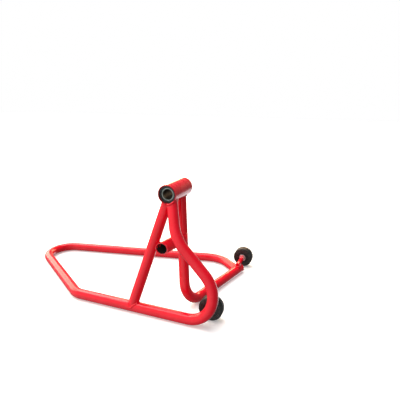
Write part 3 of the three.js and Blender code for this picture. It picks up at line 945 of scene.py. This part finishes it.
def build_stud(end):
    """Stud with a plain shank, a shoulder, a journal and a rolled thread at its tip."""
    node = f"{end}_wheel_stud"
    start = seat(node)
    length = width_of(node)
    shoulder_face = seat(f"{end}_inner_washer").y - FIT - start.y
    thread_start = length - THREAD_LENGTH
    samples = 60

    def profile(angle):
        outline = [(0, 0), (STUD_RADIUS, 0), (STUD_RADIUS, shoulder_face - 0.0008),
                   (STUD_RADIUS - 0.0002, shoulder_face - 0.0002), (STUD_RADIUS - 0.0008, shoulder_face),
                   (JOURNAL_RADIUS, shoulder_face)]
        for k in range(samples + 1):
            y = thread_start + (length - thread_start) * k / samples
            turn = (y / THREAD_PITCH - angle / (2 * math.pi)) % 1
            run_in = min(k / 8, 1)
            radius = JOURNAL_RADIUS - THREAD_DEPTH * run_in * (1 - abs(2 * turn - 1))
            tip_limit = JOURNAL_RADIUS - 0.0012 + (length - y)
            outline.append((min(radius, tip_limit), y))
        return outline + [(0, length)]

    mesh = turned_mesh(node, profile, False, 72, 50)
    bare = mesh.attributes.new("bare", "FLOAT", "POINT")
    masked = shoulder_face - 0.0001
    bare.data.foreach_set("value", [1.0 if vertex.co.y > masked else 0.0 for vertex in mesh.vertices])
    add_piece(f"{node}_finish", mesh, RED, "frame", [node], start)


def build_washer(node):
    add_turned(node, ZINC, "frame", ring_corners(JOURNAL_RADIUS + FIT, WASHER_RADIUS, WASHER_WIDTH), 0.0005)


def build_bush(node):
    add_turned(node, BRONZE, "frame", ring_corners(JOURNAL_RADIUS + FIT, STUD_RADIUS, WHEEL_WIDTH), 0.0006)


def add_near_stud_weld():
    """Bead round the near stud where it enters the rising leg."""
    axis = seat("near_wheel_stud")
    steps = 48
    loop = []
    for k in range(steps):
        angle = 2 * math.pi * k / steps
        across = STUD_RADIUS * math.cos(angle)
        depth = math.sqrt(TUBE_RADIUS ** 2 - across ** 2)
        loop.append(Vector((axis.x + across, BASE.y + depth, axis.z + STUD_RADIUS * math.sin(angle))))
    add_weld("near_stud_weld", loop)


def add_far_stud_weld():
    """Beads in the two grooves where the far stud lies on the rear tube's end."""
    axis = seat("far_wheel_stud")
    clear_of_ends = 0.0005
    steps = 19
    rise = axis.z - TUBE_RADIUS
    below = (rise ** 2 + STUD_RADIUS ** 2 - TUBE_RADIUS ** 2) / (2 * rise)
    beside = math.sqrt(STUD_RADIUS ** 2 - below ** 2) + 0.0006
    start = axis.y + clear_of_ends
    end = rear_end.y - clear_of_ends
    side = [start + (end - start) * k / steps for k in range(steps + 1)]
    loop = [Vector((axis.x - beside, y, axis.z - below)) for y in side]
    loop += [Vector((axis.x + beside, y, axis.z - below)) for y in reversed(side)]
    add_weld("far_stud_weld", loop, FAR_STUD_WELD_RADIUS)


def build_wheel(end):
    """Wheel of one end, with everything that holds it."""
    place = seat(f"{end}_wheel_bush")
    build_tyre(end, Vector((place.x, seat(f"{end}_wheel_tyre").y, place.z)))
    build_core(end, Vector((place.x, seat(f"{end}_wheel_core").y, place.z)))
    build_bush(f"{end}_wheel_bush")
    build_washer(f"{end}_inner_washer")
    build_washer(f"{end}_outer_washer")
    build_nut(end)
    build_stud(end)


build_frame()
build_socket()
build_bearing("near", ("outboard", "inboard"))
build_bearing("far", ("inboard", "outboard"))
add_circlip("near_circlip")
add_circlip("far_circlip")
build_pin_carrier()
build_wheel("near")
build_wheel("far")
add_near_stud_weld()
add_far_stud_weld()


# ---------- studio ----------
DIM_LIGHT = (0.23, 0.23, 0.23)     # from every side

# The world's soft lights: towards, rim and core angles in degrees, colour.
OVERHEAD = ((-0.28, 0.12, 0.95), 28, 24, (4.2, 4.2, 4.2))
WARM_LEFT = ((-0.80, 0.28, 0.53), 30, 26, (4.3, 3.7, 2.8))
BROAD_FRONT = ((-0.46, -0.86, 0.22), 88, 6, (0.98, 0.98, 0.98))
LIT_FLOOR_BEHIND = ((0.10, 0.90, -0.42), 21, 13, (1.3, 1.25, 1.3))


def build_floor():
    """Plain pale floor, seen by the camera but not by reflections or bounced light."""
    side = 20
    mesh = bpy.data.meshes.new("floor")
    corners = [(-side, -side, 0), (side, -side, 0), (side, side, 0), (-side, side, 0)]
    mesh.from_pydata(corners, [], [(0, 1, 2, 3)])
    paper = Surface("pale_paper", {"Roughness": 0.9})
    tone = paper.spread(paper.noise(3, 3), 0.3, 0.7)
    paper.feed("Base Color", paper.mix(tone, (0.90, 0.90, 0.90, 1), (0.93, 0.93, 0.93, 1)))
    paper.shader.inputs["Emission Color"].default_value = (1, 1, 1, 1)
    paper.shader.inputs["Emission Strength"].default_value = 0.25
    mesh.materials.append(paper.material)
    floor = bpy.data.objects.new("floor", mesh)
    floor.visible_diffuse = False      # its bounce is part of the world's light from below
    floor.visible_glossy = False
    bpy.context.scene.collection.objects.link(floor)


def build_light():
    """Soft studio light. The camera sees white, and the left and low rear lights are warm."""
    world = bpy.data.worlds.new("studio")
    bpy.context.scene.world = world
    world.use_nodes = True
    tree = world.node_tree

    def node(kind, inputs, **settings):
        made = tree.nodes.new(kind)
        for setting, value in settings.items():
            setattr(made, setting, value)
        for socket, value in inputs.items():
            if isinstance(value, bpy.types.NodeSocket):
                tree.links.new(value, made.inputs[socket])
            else:
                made.inputs[socket].default_value = value
        return made

    around = node("ShaderNodeTexCoord", {}).outputs["Generated"]
    total = DIM_LIGHT

    def add_lobe(towards, half_angle, core_angle, colour):
        """Adds light round one direction, full inside its core and fading to its rim."""
        facing = node("ShaderNodeVectorMath", {0: around, 1: Vector(towards).normalized()},
                      operation="DOT_PRODUCT")
        share = node("ShaderNodeMapRange", {
            "Value": facing.outputs["Value"], "From Min": math.cos(math.radians(half_angle)),
            "From Max": math.cos(math.radians(core_angle))}, interpolation_type="SMOOTHSTEP")
        light = node("ShaderNodeVectorMath", {0: colour, "Scale": share.outputs["Result"]},
                     operation="SCALE")
        return node("ShaderNodeVectorMath", {0: light.outputs[0], 1: total}, operation="ADD").outputs[0]

    for lobe in (OVERHEAD, WARM_LEFT, BROAD_FRONT, LIT_FLOOR_BEHIND):
        total = add_lobe(*lobe)
    seen = node("ShaderNodeLightPath", {}).outputs["Is Camera Ray"]
    colour = node("ShaderNodeMix", {0: seen, 6: total, 7: (1, 1, 1, 1)}, data_type="RGBA")
    tree.links.new(colour.outputs[2], tree.nodes["Background"].inputs["Color"])
    add_low_light()


def add_low_light():
    """A wide warm light standing low behind the stand."""
    light = bpy.data.lights.new("low_light", "AREA")
    light.shape = "RECTANGLE"
    light.size = 1.1
    light.size_y = 0.32
    light.energy = 8
    light.color = (1.0, 0.62, 0.34)
    lamp = bpy.data.objects.new("low_light", light)
    place = at(-0.25, 1.15, 0.44)
    lamp.location = place
    lamp.rotation_euler = (at(0, 0.2, 0.1) - place).to_track_quat("-Z", "Y").to_euler()
    lamp.visible_camera = False
    bpy.context.scene.collection.objects.link(lamp)


def build_camera():
    """On the outer side, out past the wheels' end, looking across and down at the stand."""
    eye = BASE + Vector((0.397965, -0.773965, 0.566475))
    yaw = -0.3510
    pitch = 0.2561
    roll = 0.0180
    level = Vector((math.cos(yaw), -math.sin(yaw), 0))
    forward = Vector((math.sin(yaw) * math.cos(pitch), math.cos(yaw) * math.cos(pitch), -math.sin(pitch)))
    upright = level.cross(forward)
    right = level * math.cos(roll) + upright * math.sin(roll)
    up = upright * math.cos(roll) - level * math.sin(roll)
    camera = bpy.data.cameras.new("camera")
    camera.sensor_width = 36
    camera.lens = 31.5
    camera.clip_end = 60
    holder = bpy.data.objects.new("camera", camera)
    holder.matrix_world = Matrix((
        (right.x, up.x, -forward.x, eye.x),
        (right.y, up.y, -forward.y, eye.y),
        (right.z, up.z, -forward.z, eye.z),
        (0, 0, 0, 1)))
    bpy.context.scene.collection.objects.link(holder)
    bpy.context.scene.camera = holder
    bpy.context.scene.view_settings.view_transform = "Standard"


build_floor()
build_light()
build_camera()
